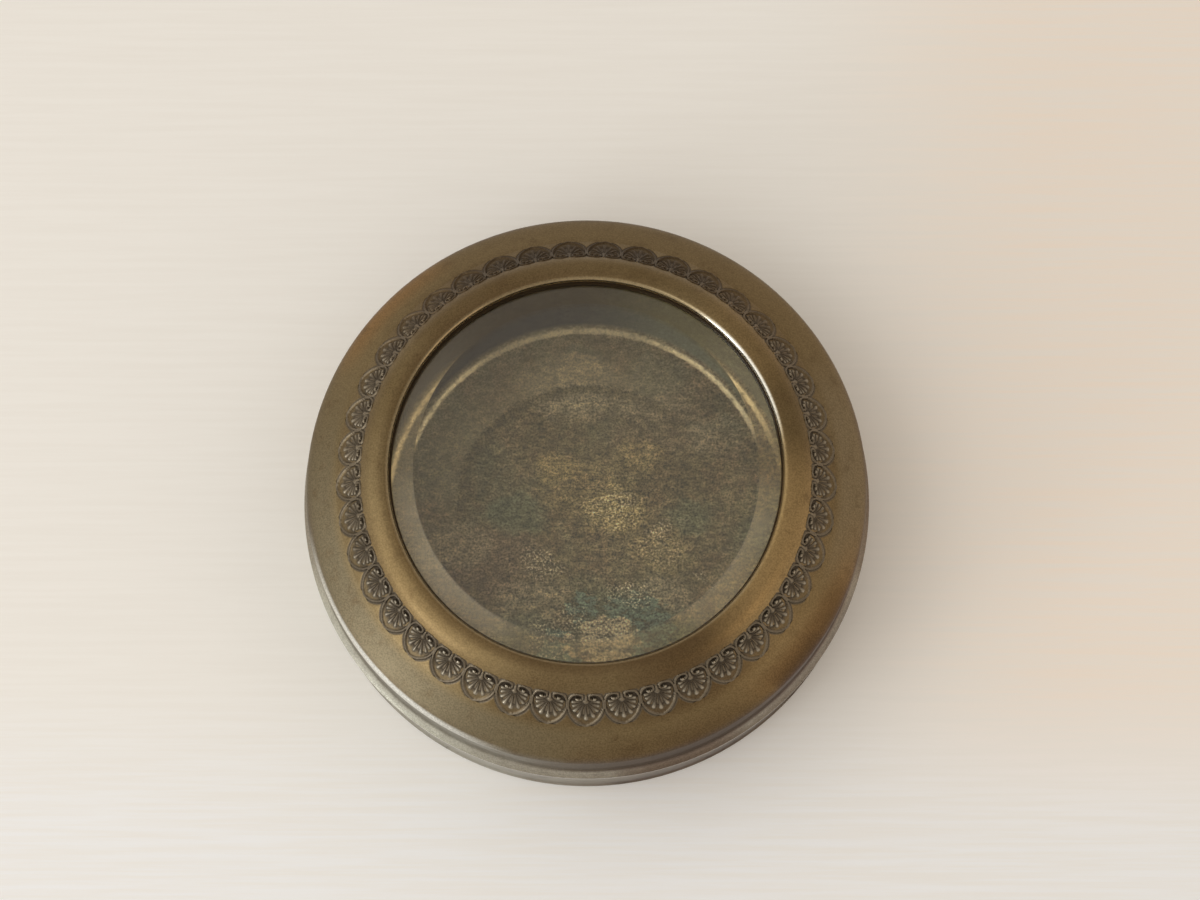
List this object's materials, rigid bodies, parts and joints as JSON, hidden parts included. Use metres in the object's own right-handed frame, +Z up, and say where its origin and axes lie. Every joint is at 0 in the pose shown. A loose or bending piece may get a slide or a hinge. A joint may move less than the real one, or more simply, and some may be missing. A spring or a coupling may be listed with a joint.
{
  "type": "round dresser box",
  "caption": "Round aged-brass dresser box with a domed lift-off lid, a stamped palmette border and a bevelled glass window over a shallow bowl base.",
  "frame": {"origin": "on the table under the middle of the box", "axes": "+Z up along the box's axis, -Y towards the person the picture was taken by, +X to their right"},
  "size_m": [0.114, 0.114, 0.039],
  "materials": {
    "lid_brass": "aged, satin, dark patina in the stamped border",
    "base_brass": "aged, satin, brown patina",
    "tarnished_brass": "mottled grey-green tarnish, matt",
    "fitting_brass": "dull, unpolished",
    "bevelled_glass": "polished plate glass, ground bevel",
    "packing_card": "matt"
  },
  "bodies": {
    "base": {"base_band": "base_brass", "base_bowl": "tarnished_brass", "locating_collar": "tarnished_brass"},
    "lid": {"lid_shell": "lid_brass", "window_glass": "bevelled_glass", "glass_packing_ring": "packing_card", "glass_retaining_ring": "fitting_brass", "glass_clip_1": "fitting_brass", "glass_clip_2": "fitting_brass", "glass_clip_3": "fitting_brass", "glass_clip_4": "fitting_brass", "glass_clip_5": "fitting_brass", "glass_clip_6": "fitting_brass"}
  },
  "joints": [
    {"name": "lid_lift", "type": "slide", "parent": "base", "child": "lid", "axis": [0, 0, 1], "range_m": [0, 0.05]}
  ]
}
